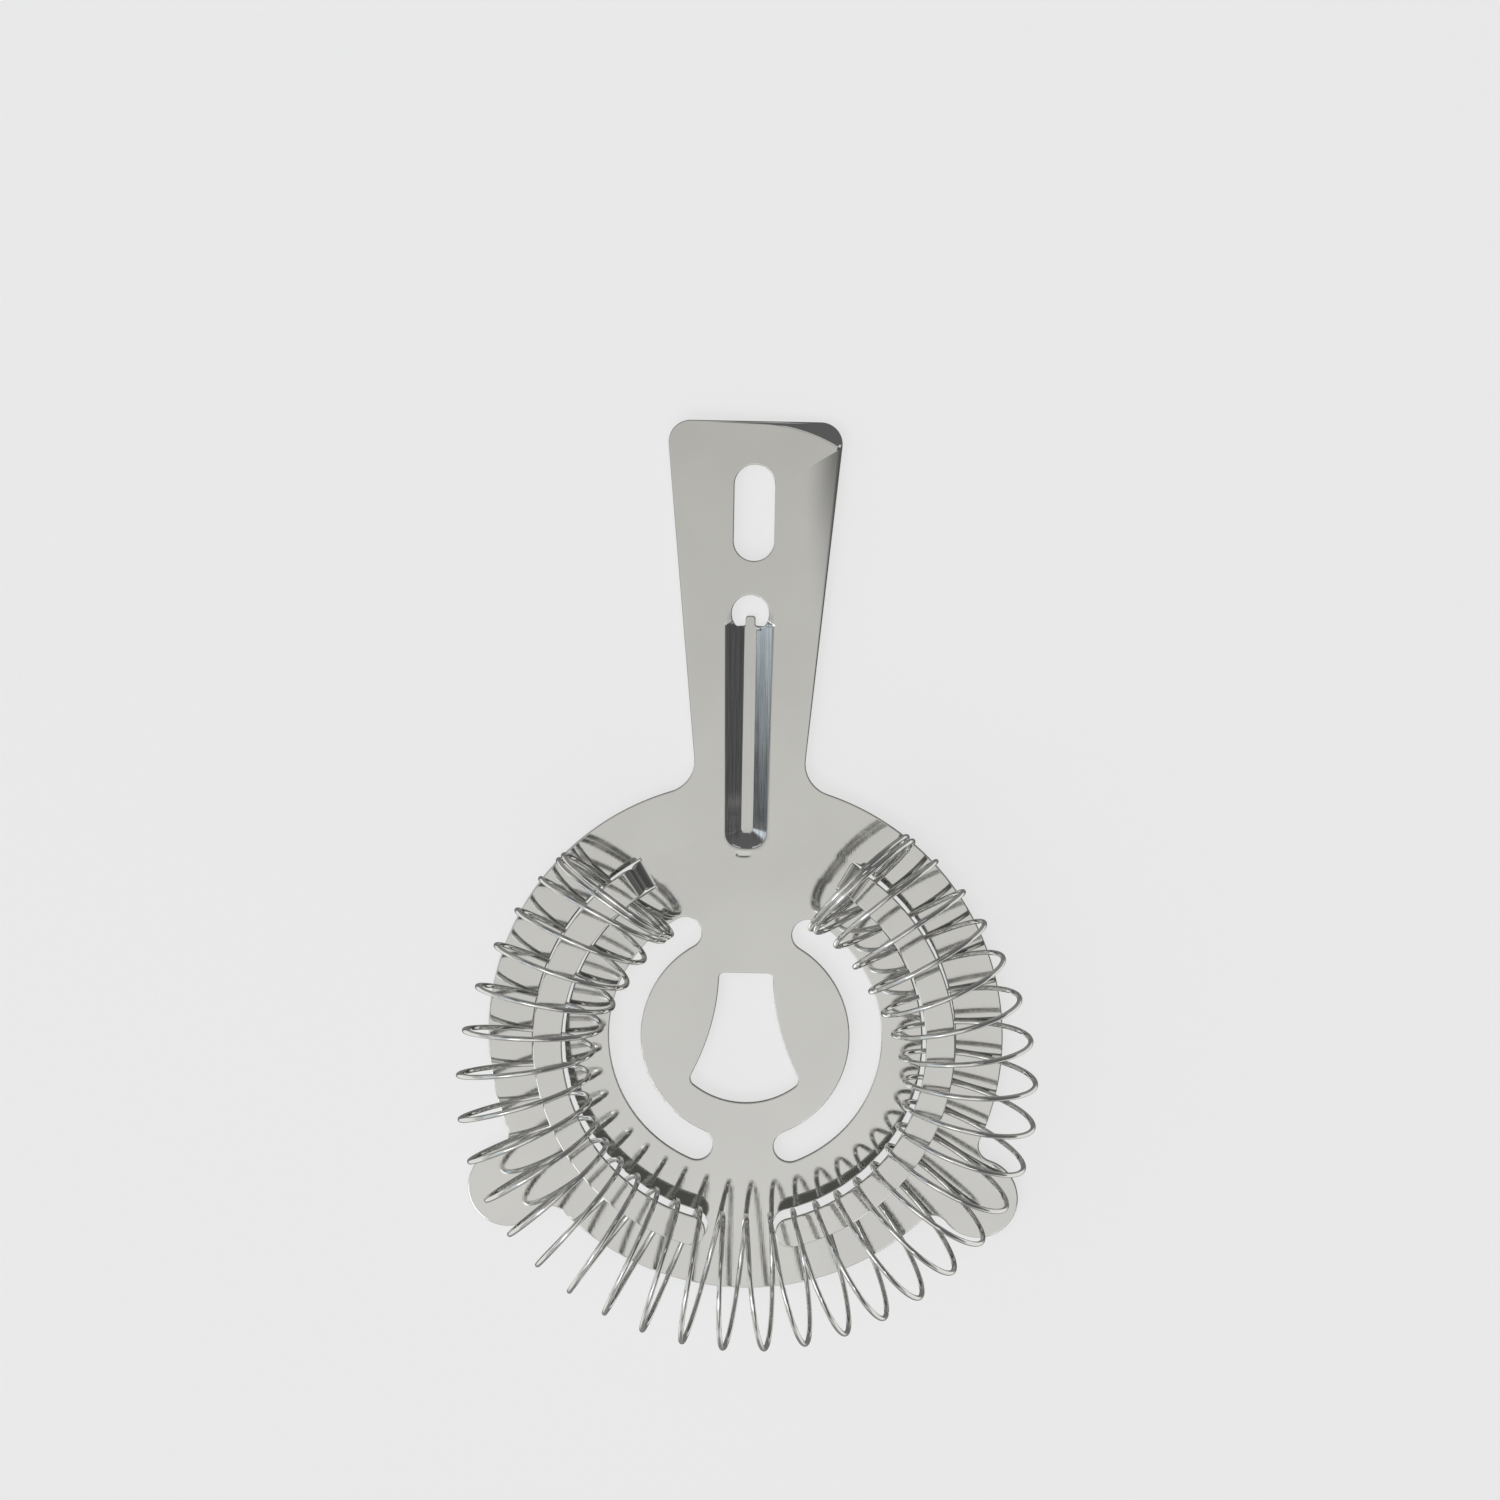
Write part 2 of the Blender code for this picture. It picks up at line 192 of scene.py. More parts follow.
# Studio, in metres; a softbox has a place, a width and height, and the brightness of its face
FLOOR_SIZE = 12.0
FLOOR_GREY = 0.3
FLOOR_GLOW = 0.66
SOFTBOXES = {
    "softbox_left": ((-0.50, -0.45, 0.85), (0.45, 0.3), 1.9),
    "softbox_right": ((0.36, -0.50, 0.9), (0.4, 0.1), 1.6),
    "softbox_back_left": ((-0.38, 0.60, 0.80), (0.5, 0.14), 0.8),
    "softbox_back_right": ((0.26, 0.60, 0.85), (0.4, 0.14), 0.8),
}


def polar(radius, angle):
    turn = math.radians(angle)
    return Vector((radius * math.sin(turn), -radius * math.cos(turn)))


def smooth(value):
    share = min(max(value, 0.0), 1.0)
    return share * share * (3 - 2 * share)


def arc(centre, start, sweep, step=6.0):
    """Points from start, turned round centre by sweep degrees."""
    arm = start - centre
    length = arm.length * math.radians(abs(sweep))
    count = max(2, math.ceil(abs(sweep) / step), math.ceil(length / ARC_STEP))
    return [centre + Matrix.Rotation(math.radians(sweep * i / count), 2) @ arm for i in range(count + 1)]


def ring_arc(radius, start, stop):
    """Points on a circle round the disc's centre, from one angle to another."""
    count = max(1, math.ceil(radius * math.radians(abs(stop - start)) / ARC_STEP))
    return [polar(radius, start + (stop - start) * i / count) for i in range(count + 1)]


def mirrored(points):
    return [Vector((-p.x, p.y)) for p in points]


def both_sides(right):
    """A closed outline from its +X half, which runs from bottom to top."""
    return right + [Vector((-p.x, p.y)) for p in reversed(right) if abs(p.x) > 1e-4]


def angle_between(one, other):
    return math.degrees(one.angle(other))


def disc_half():
    """The +X half of the disc's edge with its ear, and the angle where it stops."""
    centre = polar(EAR_REACH, EAR_ANGLE)
    far, near = DISC_R + EAR_FILLET, EAR_R + EAR_FILLET
    spread = math.degrees(math.acos((far**2 + EAR_REACH**2 - near**2) / (2 * far * EAR_REACH)))
    low, high = polar(far, EAR_ANGLE - spread), polar(far, EAR_ANGLE + spread)
    fillet_sweep = angle_between(-low, centre - low)
    ear_sweep = 360 - 2 * angle_between(-centre, low - centre)
    points = ring_arc(DISC_R, 0.0, EAR_ANGLE - spread)
    points += arc(low, points[-1], -fillet_sweep)[1:]
    points += arc(centre, points[-1], ear_sweep)[1:]
    points += arc(high, points[-1], -fillet_sweep)[1:]
    return points, EAR_ANGLE + spread


def handle_half():
    """The +X half of the handle's edge, from the neck fillet to the middle of the end."""
    out = Vector((1.0, -HANDLE_TAPER)).normalized()
    along = Vector((HANDLE_TAPER, 1.0)).normalized()
    side = out.dot(Vector((NECK_HALF, NECK_Y)))
    far = DISC_R + NECK_FILLET
    reach = side + NECK_FILLET
    neck = out * reach + along * math.sqrt(far**2 - reach**2)
    corner_y = HANDLE_END - HANDLE_CORNER_R
    corner = Vector(((side - HANDLE_CORNER_R - out.y * corner_y) / out.x, corner_y))
    points = arc(neck, neck * (DISC_R / far), -angle_between(neck, out))
    points += arc(corner, corner + out * HANDLE_CORNER_R, angle_between(out, Vector((0, 1))))
    return points, 180.0 - math.degrees(math.atan2(neck.x, neck.y))


def plate_outline():
    disc, disc_stop = disc_half()
    handle, neck_start = handle_half()
    return both_sides(disc + ring_arc(DISC_R, disc_stop, neck_start)[1:-1] + handle)


def hang_slot():
    half = HANG_SLOT_LENGTH / 2 - HANG_SLOT_R
    low = arc(Vector((0, HANG_SLOT_Y - half)), Vector((-HANG_SLOT_R, HANG_SLOT_Y - half)), 180)
    high = arc(Vector((0, HANG_SLOT_Y + half)), Vector((HANG_SLOT_R, HANG_SLOT_Y + half)), 180)
    return low + high


def round_hole():
    """A round hole with two lobes below, and the tongue of the rib's floor between them."""
    up = Vector((0, 1))
    middle = Vector((0, ROUND_HOLE_Y))
    lobe = Vector((FLOOR_TONGUE_HALF + FLOOR_TONGUE_FOOT_R + LOBE_R, RIB_TOP + LOBE_R))
    reach = (lobe - middle).normalized()
    stop = middle + reach * ROUND_HOLE_R
    half_top = arc(middle, middle + up * ROUND_HOLE_R, -angle_between(up, reach))
    low = arc(lobe, lobe + (stop - lobe).normalized() * LOBE_R, -angle_between(reach, -up))
    foot = Vector((FLOOR_TONGUE_HALF + FLOOR_TONGUE_FOOT_R, RIB_TOP + FLOOR_TONGUE_FOOT_R))
    rise = arc(foot, Vector((foot.x, RIB_TOP)), -90, 30)
    tip = Vector((FLOOR_TONGUE_HALF - FLOOR_TONGUE_TIP_R, FLOOR_TONGUE_TOP - FLOOR_TONGUE_TIP_R))
    crown = arc(tip, tip + Vector((FLOOR_TONGUE_TIP_R, 0)), 90, 15)
    right = half_top + low[1:] + rise[1:] + crown + [Vector((0, FLOOR_TONGUE_TOP))]
    return [p + Vector((RIB_X, 0)) for p in both_sides(right[::-1])]


def bell_hole():
    """A bell: flared sides, rounded corners and a bottom edge that is one arc through both lower corners."""
    drop = BELL_TOP - BELL_CORNER_Y
    side_out = Vector((1.0, 2 * BELL_FLARE * drop)).normalized()
    corner_x = BELL_HALF_TOP + BELL_FLARE * drop**2 - BELL_CORNER_R / side_out.x
    corner = Vector((corner_x, BELL_CORNER_Y))
    low = BELL_BOTTOM + BELL_CORNER_R
    middle = Vector((0.0, (corner.length_squared - low**2) / (2 * (corner.y - low))))
    right = arc(middle, Vector((0.0, BELL_BOTTOM)), angle_between(Vector((0, -1)), corner - middle))
    right += arc(corner, right[-1], angle_between(corner - middle, side_out))[1:]
    for below_top in drop * np.linspace(0.92, 0.07, 18):
        right.append(Vector((BELL_HALF_TOP + BELL_FLARE * below_top**2, BELL_TOP - below_top)))
    top_corner = Vector((BELL_HALF_TOP - BELL_TOP_R, BELL_TOP - BELL_TOP_R))
    right += arc(top_corner, top_corner + Vector((BELL_TOP_R, 0)), 90)
    return both_sides(right)


def arc_slot(inner, outer, start, stop):
    """A slot along a circle, with a round end at each of the two angles."""
    middle, half = (inner + outer) / 2, (outer - inner) / 2
    points = ring_arc(outer, start, stop)
    points += arc(polar(middle, stop), polar(outer, stop), 180)[1:-1]
    points += ring_arc(inner, stop, start)
    points += arc(polar(middle, start), polar(middle - half, start), 180)[1:-1]
    return points


def tongue_profile(length):
    """(run, rise, slope) of the tongue's upper side at a length along it from the root."""
    slope = math.radians(TONGUE_SLOPE)
    crown_r = TONGUE_FOOT_R + SHEET
    foot = TONGUE_FOOT_R * slope
    straight = (TONGUE_RISE - (TONGUE_FOOT_R + crown_r) * (1 - math.cos(slope))) / math.sin(slope)
    if length < foot:
        turn = length / TONGUE_FOOT_R
        return TONGUE_FOOT_R * math.sin(turn), TONGUE_FOOT_R * (1 - math.cos(turn)), turn
    run, rise = TONGUE_FOOT_R * math.sin(slope), TONGUE_FOOT_R * (1 - math.cos(slope))
    along = min(length - foot, straight)
    run, rise = run + along * math.cos(slope), rise + along * math.sin(slope)
    if length < foot + straight:
        return run, rise, slope
    turn = max(slope - (length - foot - straight) / crown_r, 0.0)
    run += crown_r * (math.sin(slope) - math.sin(turn))
    rise += crown_r * (math.cos(turn) - math.cos(slope))
    return run + max(length - foot - straight - crown_r * slope, 0.0), rise, turn


def tongue_excess():
    """How much longer the tongue is than the slot that it leaves."""
    far = 40.0
    return far - tongue_profile(far)[0]


def tongue_marks():
    """Distances from the root along the slot, close together where the tongue bends."""
    slope = math.radians(TONGUE_SLOPE)
    foot = TONGUE_FOOT_R * slope
    straight = (TONGUE_RISE - (2 * TONGUE_FOOT_R + SHEET) * (1 - math.cos(slope))) / math.sin(slope)
    crown = (TONGUE_FOOT_R + SHEET) * slope
    shrink = TONGUE_STRETCH / (TONGUE_STRETCH + tongue_excess())
    marks = [foot * i / 7 for i in range(8)]
    marks += [foot + straight * i / 8 for i in range(1, 9)]
    marks += [foot + straight + crown * i / 10 for i in range(1, 11)]
    marks = [m * shrink for m in marks]
    middle, half = (TONGUE_IN + TONGUE_OUT) / 2, (TONGUE_OUT - TONGUE_IN) / 2
    total = math.radians(TONGUE_ROOT - TONGUE_TIP) * middle - half
    count = math.ceil((total - marks[-1]) / ARC_STEP)
    return marks + [marks[-1] + (total - marks[-1]) * i / count for i in range(1, count + 1)]


def lance_cut():
    """The thin cut round a tongue, from one side of its root round the tip to the other side."""
    middle = (TONGUE_IN + TONGUE_OUT) / 2
    inner, outer = TONGUE_IN - LANCE_GAP, TONGUE_OUT + LANCE_GAP
    half = (outer - inner) / 2
    tip = LANCE_END + math.degrees(half / middle)
    points = ring_arc(outer, TONGUE_ROOT, tip)
    points += arc(polar(middle, tip), polar(outer, tip), -180)[1:-1]
    points += ring_arc(inner, tip, TONGUE_ROOT)
    marks = tongue_marks()
    angles = [TONGUE_ROOT - math.degrees(mark / middle) for mark in marks]
    necks = [TONGUE_NECK * math.sin(math.pi * min(mark / TONGUE_NECK_LENGTH, 1.0)) ** 2 for mark in marks]
    points += [polar(TONGUE_IN + neck, angle) for angle, neck in zip(angles, necks)]
    points += arc(polar(middle, angles[-1]), polar(TONGUE_IN, angles[-1]), 180)[1:-1]
    points += [polar(TONGUE_OUT - neck, angle) for angle, neck in zip(angles[::-1], necks[::-1])]
    return points


def soft_ramp(value, softness):
    """0 below 0 and value above 0, with the corner rounded."""
    if abs(value) < softness:
        return (value + softness) ** 2 / (4 * softness)
    return max(value, 0.0)


def rib_half_width(y):
    half = RIB_HALF_END + (RIB_HALF_TOP - RIB_HALF_END) * (y - RIB_END_Y) / (RIB_TOP - RIB_END_Y)
    share = (y - RIB_MOUTH_FROM) / (RIB_MOUTH_TOP - RIB_MOUTH_FROM)
    return half + (RIB_MOUTH_HALF - half) * smooth(share)


def rib_drop(x, y):
    """How far the sheet is pressed down at a point."""
    if y < RIB_END_Y:
        off = (abs(x - RIB_X) ** RIB_END_NORM + (RIB_END_Y - y) ** RIB_END_NORM) ** (1 / RIB_END_NORM)
        half = RIB_HALF_END
    else:
        off, half = abs(x - RIB_X), rib_half_width(y)
    share = (half - off) / (half - RIB_FLOOR_HALF)
    drop = RIB_DEPTH * (soft_ramp(share, RIB_BRIM_SOFTNESS) - soft_ramp(share - 1.0, RIB_FLOOR_SOFTNESS))
    on_floor_tongue = off <= FLOOR_TONGUE_HALF + 0.1 and y <= FLOOR_TONGUE_TOP + 0.5
    if not on_floor_tongue:
        drop *= 1 - smooth((y - RIB_MOUTH_TOP) / RIB_MOUTH_FADE)
    return drop


def press_mark(x, y):
    """A shallow curved dent that the press left below the rib's end."""
    off = Vector((x, y)) - PRESS_MARK_CENTRE
    spread = abs(math.degrees(math.atan2(off.x, -off.y))) / PRESS_MARK_SPREAD
    beyond = off.length - PRESS_MARK_R
    across = beyond / PRESS_MARK_OUTER if beyond > 0 else -beyond / PRESS_MARK_INNER
    return PRESS_MARK_DEPTH * smooth(1 - across) * smooth(2 * (1 - spread))


def corner_drop(x, y):
    """The handle's end corner on the +X side is bent back beyond a long curve."""
    beyond = (Vector((x, y)) - CORNER_BEND_CENTRE).length - CORNER_BEND_R
    return CORNER_BEND_SLOPE * CORNER_BEND_SOFTNESS * soft_ramp(beyond / CORNER_BEND_SOFTNESS, 1.0)


def surface(x, y):
    """Height of the plate's spring side: level but for the rib, the press mark and the bent corner."""
    height = 0.0
    mark_end = PRESS_MARK_CENTRE.y - PRESS_MARK_R - PRESS_MARK_OUTER
    if abs(x - RIB_X) < 1.5 * RIB_HALF_TOP and mark_end < y < ROUND_HOLE_Y + ROUND_HOLE_R:
        height -= rib_drop(x, y) + press_mark(x, y)
    if y > CORNER_BEND_CENTRE.y and x > 0:
        height -= corner_drop(x, y)
    return height


def place_on_sheet(p):
    """(point, normal) of the spring side over a point of the flat blank."""
    side = math.copysign(1.0, p.x)
    blank = p + TONGUE_DRIFT[side]
    radius = blank.length
    angle = math.degrees(math.atan2(abs(blank.x), -blank.y))
    middle = (TONGUE_IN + TONGUE_OUT) / 2
    half = (TONGUE_OUT - TONGUE_IN) / 2
    tip = TONGUE_TIP + math.degrees(half / middle)
    off = abs(radius - middle)
    if angle < tip:
        off = (Vector((abs(blank.x), blank.y)) - polar(middle, tip)).length
    if off < half + LANCE_GAP / 2 and angle < TONGUE_ROOT:
        mark = math.radians(TONGUE_ROOT - angle) * middle
        grow = 1 + tongue_excess() / TONGUE_STRETCH
        length = mark * grow if mark < TONGUE_STRETCH else mark + tongue_excess()
        run, rise, slope = tongue_profile(length)
        angle = TONGUE_ROOT - math.degrees(run / middle)
        turn = math.radians(angle)
        onward = Vector((-math.cos(turn) * side, -math.sin(turn), 0))
        point = polar(radius, angle)
        point.x *= side
        point -= TONGUE_DRIFT[side] * (1 - smooth(rise / TONGUE_RISE))
        normal = Vector((0, 0, math.cos(slope))) - onward * math.sin(slope)
        return Vector((point.x, point.y, rise)), normal
    step = SLOPE_STEP
    tilt_x = (surface(p.x + step, p.y) - surface(p.x - step, p.y)) / (2 * step)
    tilt_y = (surface(p.x, p.y + step) - surface(p.x, p.y - step)) / (2 * step)
    return Vector((p.x, p.y, surface(p.x, p.y))), Vector((-tilt_x, -tilt_y, 1)).normalized()


def area(loop):
    return sum(a.x * b.y - b.x * a.y for a, b in zip(loop, loop[1:] + loop[:1])) / 2


def without_repeats(loop):
    return [p for i, p in enumerate(loop) if (p - loop[i - 1]).length > 0.02]


def inset(loop, distance):
    """The loop moved by a distance towards the metal, which is on its left."""
    moved = []
    for i, here in enumerate(loop):
        before = (here - loop[i - 1]).normalized()
        after = (loop[(i + 1) % len(loop)] - here).normalized()
        one, other = Vector((-before.y, before.x)), Vector((-after.y, after.x))
        moved.append(here + (one + other) * (distance / max(1 + one.dot(other), 0.3)))
    return moved


def inside_many(points, loop):
    """For each row of points, whether it is inside the loop."""
    a = np.array([tuple(p) for p in loop])
    b = np.roll(a, -1, axis=0)
    rise = np.where(a[:, 1] == b[:, 1], 1e-12, b[:, 1] - a[:, 1])
    x, y = points[:, :1], points[:, 1:]
    crosses = (a[:, 1] > y) != (b[:, 1] > y)
    return ((x < a[:, 0] + (b[:, 0] - a[:, 0]) * (y - a[:, 1]) / rise) & crosses).sum(axis=1) % 2 == 1


def rib_line(share):
    """A level line at a share of the way down the rib's wall: along one side, round the end and back."""
    line = []
    start = RIB_MOUTH_TOP + 1.3
    steps, end_steps = 60, 24
    for i in range(steps + 1):
        y = start + (RIB_END_Y - start) * (i / steps) ** 1.5
        half = rib_half_width(y)
        line.append(Vector((share * (half - RIB_FLOOR_HALF) - half, y)))
    off = RIB_HALF_END - share * (RIB_HALF_END - RIB_FLOOR_HALF)
    for i in range(1, end_steps):
        turn = math.pi * i / end_steps
        across, down = -math.cos(turn), -math.sin(turn)
        norm = (abs(across) ** RIB_END_NORM + abs(down) ** RIB_END_NORM) ** (1 / RIB_END_NORM)
        line.append(Vector((across * off / norm, RIB_END_Y + down * off / norm)))
    line += mirrored(line[steps::-1])
    return [p + Vector((RIB_X, 0)) for p in line]


def rib_lines():
    """Lines along the rib, close together at its brim and at the foot of its walls, and one on its floor."""
    brim = (-0.35, -0.16, -0.1, -0.04, 0.03, 0.1, 0.17)
    wall = (0.3, 0.5, 0.7)
    foot = (0.86, 0.94, 0.975, 1.0, 1.025, 1.06)
    lines = [rib_line(share) for share in brim + wall + foot]
    lines.append([Vector((RIB_X, y)) for y in np.linspace(FLOOR_TONGUE_TOP - 0.6, RIB_END_Y - 0.3, 50)])
    return lines


def press_mark_lines():
    beyond = (-1.1, -0.9, -0.75, -0.6, -0.4, -0.2, 0.0, 0.1, 0.2, 0.3, 0.4, 0.6)
    angles = range(-26, 27, 2)
    return [[PRESS_MARK_CENTRE + polar(PRESS_MARK_R + off, angle) for angle in angles] for off in beyond]


def corner_bend_lines():
    beyond = (-0.5, -0.2, -0.1, 0.0, 0.1, 0.2, 0.6, 1.1, 1.6)
    angles = range(36)
    return [[CORNER_BEND_CENTRE - polar(CORNER_BEND_R + off, -angle) for angle in angles] for off in beyond]


def tongue_lines():
    """Lines across both tongues, where they bend and along their level part."""
    lines = []
    middle = (TONGUE_IN + TONGUE_OUT) / 2
    for mark in tongue_marks()[1:]:
        angle = TONGUE_ROOT - math.degrees(mark / middle)
        line = [polar(middle + off, angle) for off in (-1.3, 0.0, 1.3)]
        lines.append([p - TONGUE_DRIFT[1] for p in line])
        lines.append([p - TONGUE_DRIFT[-1] for p in mirrored(line)])
    return lines


def detail_lines():
    """Lines inside the sheet that its triangles follow."""
    return rib_lines() + press_mark_lines() + tongue_lines() + corner_bend_lines()


def as_array(points):
    return np.array([tuple(p) for p in points])


def inside_sheet(points, loops):
    """For each row of points, whether it is inside the first loop, the outline, and outside the holes."""
    inside = inside_many(points, loops[0])
    for hole in loops[1:]:
        inside &= ~inside_many(points, hole)
    return inside


def flat_pattern(loops):
    """The points of the flat blank, how far below the face each one is, and the edges that join them."""
    points, edges, drops = [], [], []
    for loop in loops:
        for distance, drop in RINGS:
            first = len(points)
            ring = inset(loop, distance)
            points += ring
            drops += [drop] * len(ring)
            edges += [(first + i, first + (i + 1) % len(ring)) for i in range(len(ring))]
    face_from = RINGS[-1][0]
    boundary = np.concatenate([as_array(inset(loop, face_from)) for loop in loops])
    limits = [inset(loop, face_from + DETAIL_INSET) for loop in loops]
    for line in detail_lines():
        spots = as_array(line)
        distances = np.linalg.norm(spots[:, None, :] - boundary[None, :, :], axis=2).min(axis=1)
        clear = (distances > DETAIL_CLEARANCE) & inside_sheet(spots, limits)
        last = None
        for p, kept in zip(line, clear):
            if kept:
                points.append(p)
                drops.append(0.0)
                if last is not None:
                    edges.append((last, len(points) - 1))
            last = len(points) - 1 if kept else None
    return points, drops, edges


def sheet_mesh(outline, holes):
    """Points and faces of the whole sheet, and the number of its edge faces, which come last."""
    outline = without_repeats(outline)
    loops = [outline if area(outline) > 0 else outline[::-1]]
    for hole in holes:
        hole = without_repeats(hole)
        loops.append(hole if area(hole) < 0 else hole[::-1])
    points, drops, edges = flat_pattern(loops)
    flat, _, faces, origins, _, _ = delaunay_2d_cdt(points, edges, [], 0, MERGE_DISTANCE)
    flat_of = {}
    for i, found in enumerate(origins):
        for j in found:
            flat_of[j] = i
    depth = [drops[found[0]] if found else 0.0 for found in origins]
    middles = as_array((flat[a] + flat[b] + flat[c]) / 3 for a, b, c in faces)
    front = [tuple(face) for face, kept in zip(faces, inside_sheet(middles, loops)) if kept]
    count = len(flat)
    placed = [place_on_sheet(p) for p in flat]
    verts = [point - normal * drop for (point, normal), drop in zip(placed, depth)]
    verts += [point - normal * (SHEET - drop) for (point, normal), drop in zip(placed, depth)]
    back = [(a + count, c + count, b + count) for a, b, c in front]
    rim, first = [], 0
    for loop in loops:
        for i in range(len(loop)):
            a, b = flat_of[first + i], flat_of[first + (i + 1) % len(loop)]
            rim.append((a, a + count, b + count, b))
        first += len(loop) * len(RINGS)
    return verts, front + back + rim, len(rim)


def make_object(name, verts, faces, *materials):
    mesh = bpy.data.meshes.new(name)
    mesh.from_pydata([tuple(v * MM + origin) for v in verts], [], faces)
    for material in materials:
        mesh.materials.append(material)
    obj = bpy.data.objects.new(name, mesh)
    bpy.context.scene.collection.objects.link(obj)
    return obj


def drop_loose(mesh):
    """Removes points that no face uses."""
    used = {i for polygon in mesh.polygons for i in polygon.vertices}
    if len(used) == len(mesh.vertices):
        return
    order = {old: new for new, old in enumerate(sorted(used))}
    verts = [tuple(mesh.vertices[i].co) for i in sorted(used)]
    faces = [tuple(order[i] for i in polygon.vertices) for polygon in mesh.polygons]
    mesh.clear_geometry()
    mesh.from_pydata(verts, [], faces)


def make_plate():
    holes = [hang_slot(), round_hole(), bell_hole()]
    c_slot = arc_slot(C_SLOT_IN, C_SLOT_OUT, *C_SLOT_ENDS)
    holes += [c_slot, mirrored(c_slot)]
    cut = lance_cut()
    holes.append([p - TONGUE_DRIFT[1] for p in cut])
    holes.append([p - TONGUE_DRIFT[-1] for p in mirrored(cut)])
    verts, faces, rim_count = sheet_mesh(plate_outline(), holes)
    plate = make_object("sheet", verts, faces, plate_look(), edge_look())
    drop_loose(plate.data)
    for polygon in plate.data.polygons[len(faces) - rim_count:]:
        polygon.material_index = 1
    plate.data.shade_smooth()
    return plate


def ring_radius(angle):
    return RING_R - RING_PULL_IN * smooth((abs(angle) - RING_PULL_FROM) / RING_PULL_SPAN)


def turn_pitch(angle, side):
    open_pitch = TURN_PITCH + TURN_PITCH_GAIN[side] * smooth((angle - TURN_PITCH_FROM) / TURN_PITCH_SPAN)
    return open_pitch + (PACKED_PITCH - open_pitch) * smooth((angle - PACKED_FROM[side]) / PACKED_SPAN)


def half_spring(side):
    """The angle round the disc at every step of the wire, from the front to one end. side is 1 for +X."""
    angles = [0.0]
    while angles[-1] < SPRING_END[side]:
        pitch = turn_pitch(angles[-1], side)
        angles.append(angles[-1] + math.degrees(pitch / ring_radius(angles[-1])) / STEPS_PER_TURN)
    return angles


def wire_point(step):
    """A point on the wire's middle line, and the direction to it from the middle of the coil."""
    angles = right_angles if step >= 0 else left_angles
    whole = min(int(abs(step)), len(angles) - 2)
    angle = angles[whole] + (angles[whole + 1] - angles[whole]) * (abs(step) - whole)
    angle = math.copysign(angle, step)
    phase = math.radians(FRONT_PHASE - 360.0 * step / STEPS_PER_TURN)
    side = 1 if step >= 0 else -1
    turned = smooth((abs(angle) - LOOP_TURNS_FROM) / LOOP_TURNS_SPAN)
    outward = polar(1.0, angle - side * LOOP_LEAN * turned).to_3d()
    onward = Vector((-outward.y, outward.x, 0.0)) * side * LOOP_TILT[side] * turned
    arm = (outward * math.cos(phase) + (Vector((0, 0, 1)) + onward) * math.sin(phase)).normalized()
    middle = polar(ring_radius(angle), angle).to_3d()
    middle.x += SPRING_SHIFT
    middle.z = SPRING_LIFT + WIRE_R + COIL_R
    return middle + arm * COIL_R, arm, middle


def wire_stations(first, last):
    """(step, share of the wire's thickness) along one stretch; the wire's own two ends are rounded off."""
    stations = [(step, 1.0) for step in range(math.floor(first) + 1, math.ceil(last))]
    if first in wire_ends:
        start = [(first, WIRE_END_SHARE), (first + WIRE_END_STEPS, 1.0)]
    else:
        start = [(first, 1.0)]
    if last in wire_ends:
        stop = [(last - WIRE_END_STEPS, 1.0), (last, WIRE_END_SHARE)]
    else:
        stop = [(last, 1.0)]
    return start + stations + stop


def make_wire(name, first, last, material):
    """One stretch of the wire as a closed tube. Its UV map goes round it and, in millimetres, along it."""
    verts, lengths = [], []
    for step, share in wire_stations(first, last):
        centre, arm, _ = wire_point(step)
        forward = wire_point(step + 0.1)[0] - wire_point(step - 0.1)[0]
        sideways = forward.cross(arm).normalized()
        upright = sideways.cross(forward).normalized()
        lengths.append(step * 2 * math.pi * COIL_R / STEPS_PER_TURN)
        for k in range(WIRE_SIDES):
            turn = 2 * math.pi * k / WIRE_SIDES
            verts.append(centre + WIRE_R * share * (upright * math.cos(turn) + sideways * math.sin(turn)))
    faces, coords = [], []
    for i in range(len(lengths) - 1):
        for k in range(WIRE_SIDES):
            a, b = i * WIRE_SIDES + k, i * WIRE_SIDES + (k + 1) % WIRE_SIDES
            faces.append((a, b, b + WIRE_SIDES, a + WIRE_SIDES))
            low, high = k / WIRE_SIDES, (k + 1) / WIRE_SIDES
            here, there = lengths[i], lengths[i + 1]
            coords += [(low, here), (high, here), (high, there), (low, there)]
    final = len(verts) - WIRE_SIDES
    faces.append(tuple(range(WIRE_SIDES))[::-1])
    faces.append(tuple(range(final, final + WIRE_SIDES)))
    coords += [(0.5, lengths[0])] * WIRE_SIDES + [(0.5, lengths[-1])] * WIRE_SIDES
    wire = make_object(name, verts, faces, material)
    layer = wire.data.uv_layers.new(name="wire")
    for loop, coord in zip(layer.data, coords):
        loop.uv = coord
    wire.data.shade_smooth()
    for polygon in wire.data.polygons[-2:]:
        polygon.use_smooth = False
    return wire


